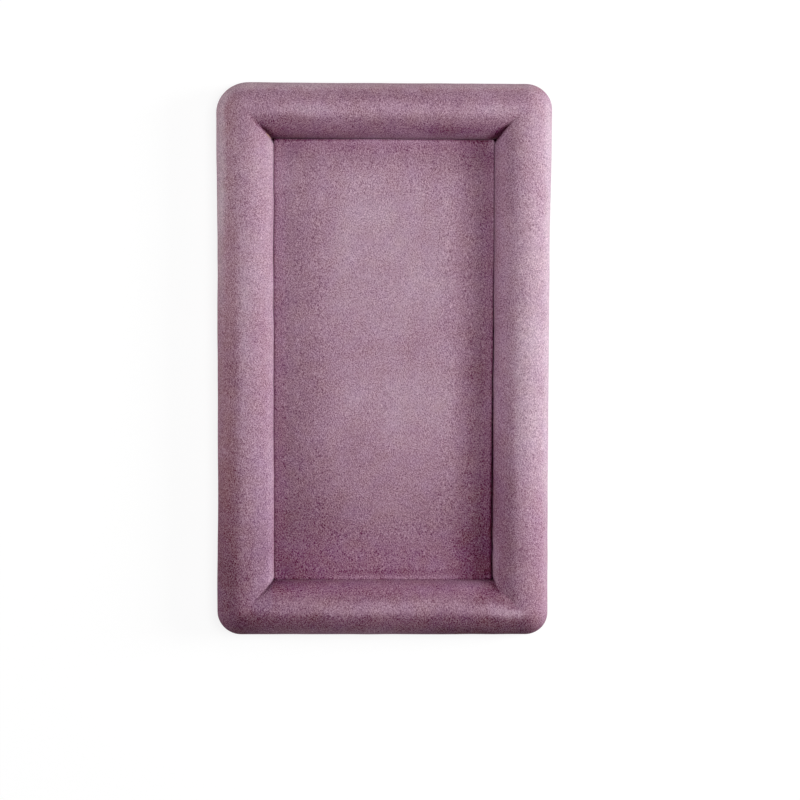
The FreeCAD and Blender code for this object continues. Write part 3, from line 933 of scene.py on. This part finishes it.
def pile_cast(place):
    """How far the pile's colour strays at a place, with the painted colour of shade in the panel's folds."""
    along = place.y / MM
    from_left = (place.x + CREST_X) / MM
    from_back = (CREST_Y - place.y) / MM
    warm = 1 - smooth_step(*WARM_FROM_LEFT, from_left) * smooth_step(*WARM_FROM_BACK, from_back)
    warm *= smooth_step(*WARM_ALONG, along)
    cool = stretch(from_left, *COOL_FROM_LEFT) * stretch(along, *COOL_ALONG)
    beyond_x = abs(place.x) - PANEL_HIGH.x
    beyond_y = abs(place.y) - PANEL_HIGH.y
    outside = math.hypot(max(0.0, beyond_x), max(0.0, beyond_y))
    from_edge = outside - min(0.0, max(beyond_x, beyond_y))
    deep = 1 - smooth_step(*SHADE_CAST_FROM_EDGE, from_edge / MM)
    if outside == 0.0:
        deep = max(deep, 1 - smooth_step(*SHADE_CAST_FROM_FRONT, (place.y - PANEL_LOW.y) / MM))
    deep *= smooth_step(*SHADE_CAST_FROM_LEFT, from_left)
    return WARM_CAST * warm + COOL_CAST * cool + SHADE_CAST * deep


# Velvet of the floor panel

class TRAY_OT_velvet_floor(bpy.types.Operator):
    """Velvet wrapped round the floor card, with its edges turned in on the back"""

    bl_idname = "tray.velvet_floor"
    bl_label = "Velvet Floor"
    bl_options = {"REGISTER", "UNDO"}

    def execute(self, context):
        settings = context.scene.tray_floor
        floor = new_plate("velvet_floor", PANEL_HIGH.x, PANEL_HIGH.y, PANEL_HIGH.z)
        open_piece(floor)
        pick(floor, "EDGE", lambda edge: True)
        extrude_edges((0, 0, PANEL_LOW.z - PANEL_HIGH.z))
        back_x = PANEL_HIGH.x - settings.turn_in
        back_y = PANEL_HIGH.y - settings.turn_in
        extrude_edges((0, 0, 0))
        bpy.ops.transform.resize(
            value=(back_x / PANEL_HIGH.x, back_y / PANEL_HIGH.y, 1), center_override=(0, 0, 0))
        round_panel_edges(floor, settings.edge_radius)
        divide_edges(floor, 0, 2 * PANEL_HIGH.x)
        divide_edges(floor, 1, 2 * PANEL_HIGH.y)
        merge_doubles()
        face_up(floor, PANEL_HIGH.z - 0.1 * MM)
        close_piece()
        move_points(floor, lambda place, normal: floor_shift(place, settings))
        paint_pile_shading(floor, floor_painted_shading)
        finish_velvet(floor, PANEL_SMOOTHING, context.scene.tray_velvet)
        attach(floor, "root")
        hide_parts("floor_velvet")
        return {"FINISHED"}


def round_panel_edges(floor, radius):
    """Rounds the panel's upright corners and its upper edges, as cloth drawn over card does."""

    def is_upright(edge):
        return abs(edge.verts[0].co.z - edge.verts[1].co.z) > 1.0 * MM

    def is_upper(edge):
        return all(end.co.z > PANEL_HIGH.z - TINY for end in edge.verts)

    for test in (is_upright, is_upper):
        pick(floor, "EDGE", test)
        bpy.ops.mesh.bevel(offset=radius, segments=PANEL_EDGE_STEPS, affect="EDGES")


# Each edge of the panel: its axis and way, how far it is drawn out towards the rim, how much of its roll is
# squeezed up, how dark its band of painted shade is, where that begins to fade and where it is gone, and
# how dark the painted shade in its fold is at the left or front end, in the middle, and at the right or back
# end
PanelEdge = namedtuple("PanelEdge", "axis way bulge lift pressed fold")
PANEL_EDGES = {
    "left": PanelEdge(0, -1, 0.05 * MM, 0.45, (0.38, 10 * MM, 26 * MM), (0.0, 0.1, 0.1)),
    "right": PanelEdge(0, 1, 0.22 * MM, 0.55, (0.66, 6.5 * MM, 17.5 * MM), (1.10, 0.50, -0.20)),
    "front": PanelEdge(1, -1, 0.15 * MM, 0.80, (0.67, 6 * MM, 72 * MM), (0.35, 0.0, 0.20)),
    "back": PanelEdge(1, 1, 0.22 * MM, 0.60, (0.38, 5 * MM, 16 * MM), (0.75, 0.15, 0.45)),
}

# How far in the edges are drawn out and squeezed up, from where to where along the tray the right one
# comes to be so, and how far in the painted shade of a fold goes
EDGE_REACH = 3.0 * MM
RIGHT_ALONG = (-20 * MM, 50 * MM)
FOLD_REACH = (0.2 * MM, 0.9 * MM)


def panel_insets(place):
    """Distance of a point from each of the panel's four edges."""
    return {name: PANEL_HIGH[edge.axis] - edge.way * place[edge.axis] for name, edge in PANEL_EDGES.items()}


def floor_shift(place, settings):
    """How far a point of the floor panel strays from flat: its low crown, its edges and its waves."""
    insets = panel_insets(place)
    from_ends = (min(insets["front"], insets["back"]), min(insets["left"], insets["right"]))
    upper = smooth_step(PANEL_LOW.z + 0.5 * MM, PANEL_HIGH.z - 0.3 * MM, place.z)
    rise = 1.0
    for inset in from_ends:
        rise *= 1 - (1 - min(1.0, inset / settings.crown_reach)) ** 2
    waves = 0.6 * ripple(place, 30 * MM, 3.0) + 0.4 * ripple(place, 9 * MM, 5.0) - 0.5
    move = Vector((0, 0, (settings.crown * rise + settings.waviness * waves) * upper))
    lift = 0.0
    for name, edge in PANEL_EDGES.items():
        near = 1 - smooth_step(0.0, EDGE_REACH, insets[name])
        share = smooth_step(*RIGHT_ALONG, place.y) if name == "right" else 1.0
        wave = joint_wave((1 + edge.axis) * edge.way, place[1 - edge.axis])
        wave *= 1 - hump(from_ends[edge.axis], CORNER_HOLD)
        move[edge.axis] += edge.way * near * (edge.bulge * share - wave)
        lift = max(lift, edge.lift * share * near)
    if place.z > PANEL_HIGH.z - settings.edge_radius:
        move.z += (PANEL_HIGH.z - place.z) * lift
    return move


# Painted light over the whole panel, away from the painted shade at its edges
PANEL_PAINTED_LIGHT = 0.12

# Painted highlight on the panel's rolled edge beside the fold, and painted shade in the hollow just
# inside it: how pale and how dark, and from where to where across the tray
ROLL_LIGHT_AND_SHADE = {"front": (0.32, 0.25), "back": (0.20, 0.15)}
ROLL_LIGHT_ACROSS = (-26 * MM, -12 * MM, 20 * MM, 32 * MM)

# Patches painted lighter or darker on the panel, partly its nap and partly painted light and shade, and
# painted highlights on its two rolled corners: middle and reach along x and y in mm, and how much lighter
# each is painted
PAINTED_PATCHES = (
    ((-3, 56), (14, 14), 0.20),
    ((-37, 70), (4, 6), 0.20),
    ((32, -6), (8, 12), -0.20),
    ((33, -52), (5, 12), 0.15),
    ((37, -73), (4, 14), -0.20),
    ((-37, -76), (5, 5), -0.25),
    ((-31, 76), (5, 4), -0.20),
    ((-37, 37), (4, 9), 0.17),
    ((-9, -45), (9, 9), 0.16),
    ((PANEL_HIGH.x / MM, PANEL_HIGH.y / MM), (2, 4), 0.85),
    ((PANEL_LOW.x / MM, PANEL_LOW.y / MM), (2, 3), 0.35),
)


def fold_painted_shade(fold, share):
    """How dark the painted shade in a fold is at a share of its length, from -1 to 1."""
    first, middle, last = fold
    dark = first + (middle - first) * smooth_step(-0.8, 0.0, share)
    return dark + (last - middle) * smooth_step(0.0, 0.7, share)


def floor_painted_shading(place):
    """Painted light and shade of the panel's pile, partly its nap: lighter in the middle, with painted shade
    towards its edges and in its folds.
    """
    stray = 2.5 * MM * ripple(place, 30 * MM, 6.0) + 0.8 * MM * ripple(place, 6 * MM, 8.0)
    insets = panel_insets(place)
    shading = PANEL_PAINTED_LIGHT
    pressed = {}
    for name, edge in PANEL_EDGES.items():
        dark, start, end = edge.pressed
        pressed[name] = dark * (1 - smooth_step(start, end, insets[name] + stray))
        share = place[1 - edge.axis] / PANEL_HIGH[1 - edge.axis]
        shading -= fold_painted_shade(edge.fold, share) * (1 - smooth_step(*FOLD_REACH, insets[name]))
    # The painted shade by the edges is less on the left towards the back, more on the right towards the
    # front, and less along the front where the left and right shade already lie
    pressed["left"] *= 1 - 0.45 * smooth_step(10 * MM, 70 * MM, place.y)
    pressed["right"] *= 0.88 + 0.20 * smooth_step(-40 * MM, 40 * MM, -place.y)
    pressed["front"] *= 1 - 0.7 * pressed["left"] - 0.15 * pressed["right"]
    shading -= sum(pressed.values())
    for (middle_x, middle_y), (reach_x, reach_y), lean in PAINTED_PATCHES:
        shading += lean * hump(place.x / MM, reach_x, middle_x) * hump(place.y / MM, reach_y, middle_y)
    for edge, (pale, dark) in ROLL_LIGHT_AND_SHADE.items():
        roll_light = pale * hump(insets[edge], 0.5 * MM, 0.7 * MM) - dark * hump(insets[edge], 1.2 * MM, 2.5 * MM)
        shading += roll_light * stretch(place.x, *ROLL_LIGHT_ACROSS)
    return shading


# Felt and inner frame

class TRAY_OT_felt_lining(bpy.types.Operator):
    """Thin felt sheet under the tray"""

    bl_idname = "tray.felt_lining"
    bl_label = "Felt Lining"
    bl_options = {"REGISTER", "UNDO"}

    def execute(self, context):
        lining = new_plate("felt_lining", LINING_HIGH.x, LINING_HIGH.y, LINING_HIGH.z)
        corner_radius = RIM_RADIUS - (RIM_HIGH.x - LINING_HIGH.x)
        open_piece(lining)
        select_whole()
        bpy.ops.mesh.bevel(offset=corner_radius, segments=LINING_CORNER_STEPS, affect="VERTICES")
        select_whole()
        bpy.ops.mesh.extrude_region_move(
            TRANSFORM_OT_translate={"value": (0, 0, LINING_LOW.z - LINING_HIGH.z)})
        pick(lining, "EDGE", lambda edge: all(end.co.z < LINING_LOW.z + TINY for end in edge.verts))
        bpy.ops.mesh.bevel(offset=LINING_EDGE, segments=LINING_EDGE_STEPS, affect="EDGES")
        select_whole()
        bpy.ops.mesh.normals_make_consistent(inside=False)
        close_piece()
        bpy.ops.object.shade_smooth_by_angle(angle=LINING_SMOOTHING)
        dress(lining, fibre_material(
            "Black felt", (0.010, 0.010, 0.011), (0.035, 0.034, 0.036), 0.95, sheen=0.25))
        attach(lining, "root")
        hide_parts("base_lining")
        return {"FINISHED"}


class TRAY_OT_inner_frame(bpy.types.Operator):
    """Finishes of the rails, boards and fasteners inside the velvet"""

    bl_idname = "tray.inner_frame"
    bl_label = "Inner Frame"
    bl_options = {"REGISTER", "UNDO"}

    def execute(self, context):
        fibreboard = fibre_material("Fibreboard", (0.34, 0.21, 0.11), (0.50, 0.34, 0.20), 0.80)
        hardboard = fibre_material("Hardboard", (0.11, 0.055, 0.028), (0.21, 0.11, 0.06), 0.55)
        greyboard = fibre_material("Greyboard", (0.25, 0.235, 0.21), (0.41, 0.39, 0.36), 0.90)
        steel = steel_material()
        finishes = {node: fibreboard for node in RAIL_NODES}
        finishes.update(
            base_board=hardboard, floor_card=greyboard, corner_v_nails=steel, base_brads=steel)
        for node, material in finishes.items():
            dress(bpy.data.objects[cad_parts[node].name], material)
        return {"FINISHED"}


# Studio

# Size of the floor, its gap below the tray, the grey that lights the tray from below and the one that
# is seen, and how far what is seen of it is lifted to white
FLOOR_SIZE = 6.0
FLOOR_GAP = 0.2 * MM
FLOOR_GREY = (0.60, 0.60, 0.60)
SEEN_GREY = (0.20, 0.20, 0.20)
FLOOR_LIFT = 0.84
WHITE = (1.0, 1.0, 1.0)

LAMP_DISTANCE = 0.9
LAMP_SIZE = 0.4

# Where the camera stands, how it is turned and how wide its sensor is in mm
CAMERA_PLACE = Vector((-10.08, 23.94, 689.6)) * MM
CAMERA_TURN = [math.radians(angle) for angle in (-3.195, -1.338, 0.182)]
SENSOR_WIDTH = 36.0


class TRAY_OT_studio(bpy.types.Operator):
    """White floor, soft light and a camera straight above the tray"""

    bl_idname = "tray.studio"
    bl_label = "Studio"
    bl_options = {"REGISTER", "UNDO"}

    def execute(self, context):
        settings = context.scene.tray_studio
        deselect_all()
        bpy.ops.mesh.primitive_plane_add(size=FLOOR_SIZE, location=(0, 0, -FLOOR_GAP))
        ground = context.active_object
        ground.name = "studio_floor"
        dress(ground, white_floor_material())
        context.scene.world = studio_world(settings.ambient)
        for name, azimuth, elevation, power in (
            ("key_lamp", 8, 22, settings.key_power),
            ("top_lamp", 20, 72, settings.top_power),
            ("back_lamp", 95, 25, settings.back_power),
            ("fill_lamp", 180, 20, settings.fill_power),
        ):
            soft_lamp(name, math.radians(azimuth), math.radians(elevation), power)
        add_camera(settings.lens)
        context.scene.view_settings.view_transform = "Standard"
        return {"FINISHED"}


def soft_lamp(name, azimuth, elevation, power):
    """A square soft lamp that faces the tray, at an angle from +X towards +Y and above the floor."""
    level = math.cos(elevation)
    way = Vector((level * math.cos(azimuth), level * math.sin(azimuth), math.sin(elevation)))
    bpy.ops.object.light_add(type="AREA", location=LAMP_DISTANCE * way)
    lamp = bpy.context.active_object
    lamp.name = name
    lamp.data.size = LAMP_SIZE
    lamp.data.energy = power
    lamp.rotation_euler = way.to_track_quat("Z", "Y").to_euler()


def add_camera(lens):
    """Camera above the tray, placed so that the tray's outline falls where it does in the photograph."""
    bpy.ops.object.camera_add(location=CAMERA_PLACE, rotation=CAMERA_TURN)
    camera = bpy.context.active_object
    camera.name = "camera"
    camera.data.lens = lens
    camera.data.sensor_width = SENSOR_WIDTH
    bpy.context.scene.camera = camera


def seen_directly(tree):
    """1 where the camera sees a surface, straight or in metal or glass, and 0 for other light."""
    path = add_node(tree, "ShaderNodeLightPath").outputs
    shown = combine(tree, "MAXIMUM", path["Is Camera Ray"], path["Is Glossy Ray"])
    return combine(tree, "MAXIMUM", shown, path["Is Transmission Ray"])


def white_floor_material():
    """White floor that keeps the tray's shadow and is lifted to full white where it is seen."""
    material, tree, shader, _ = new_material("White floor")
    shown = seen_directly(tree)
    fill_inputs(tree, shader, {
        "Base Color": mix_colour(tree, shown, opaque(FLOOR_GREY), opaque(SEEN_GREY)),
        "Emission Strength": combine(tree, "MULTIPLY", shown, FLOOR_LIFT),
        "Emission Color": opaque(WHITE),
        "Roughness": 1.0,
        "Specular IOR Level": 0.0,
    })
    return material


def studio_world(ambient):
    """Even light from all round, which is plain white where it is seen."""
    world = bpy.data.worlds.new("Studio")
    world.use_nodes = True
    tree = world.node_tree
    tree.nodes.clear()
    strength = combine(tree, "MULTIPLY_ADD", seen_directly(tree), 1 - ambient, ambient)
    light = add_node(tree, "ShaderNodeBackground", {"Color": opaque(WHITE), "Strength": strength})
    add_node(tree, "ShaderNodeOutputWorld", {"Surface": light.outputs["Background"]})
    return world


# Add-on

PIECE_OPERATORS = (
    TRAY_OT_velvet_rim,
    TRAY_OT_velvet_floor,
    TRAY_OT_felt_lining,
    TRAY_OT_inner_frame,
    TRAY_OT_studio,
)

SETTINGS = (
    ("tray_rim", RimSettings),
    ("tray_floor", FloorSettings),
    ("tray_velvet", VelvetSettings),
    ("tray_studio", StudioSettings),
)


class TRAY_PT_sidebar(bpy.types.Panel):
    """Pieces and settings of the tray"""

    bl_idname = "TRAY_PT_sidebar"
    bl_label = "Jewelry Tray"
    bl_space_type = "VIEW_3D"
    bl_region_type = "UI"
    bl_category = "Tray"

    def draw(self, context):
        for operator in PIECE_OPERATORS:
            self.layout.operator(operator.bl_idname)
        for name, _ in SETTINGS:
            box = self.layout.box()
            group = getattr(context.scene, name)
            for setting in group.bl_rna.properties.keys():
                if setting not in ("rna_type", "name"):
                    box.prop(group, setting)


def register():
    for name, group in SETTINGS:
        bpy.utils.register_class(group)
        setattr(bpy.types.Scene, name, PointerProperty(type=group))
    for item in (*PIECE_OPERATORS, TRAY_PT_sidebar):
        bpy.utils.register_class(item)


def unregister():
    for item in (TRAY_PT_sidebar, *reversed(PIECE_OPERATORS)):
        bpy.utils.unregister_class(item)
    for name, group in reversed(SETTINGS):
        delattr(bpy.types.Scene, name)
        bpy.utils.unregister_class(group)


def main():
    register()
    bpy.ops.tray.velvet_rim()
    bpy.ops.tray.velvet_floor()
    bpy.ops.tray.felt_lining()
    bpy.ops.tray.inner_frame()
    bpy.ops.tray.studio()


if __name__ == "__main__":
    main()
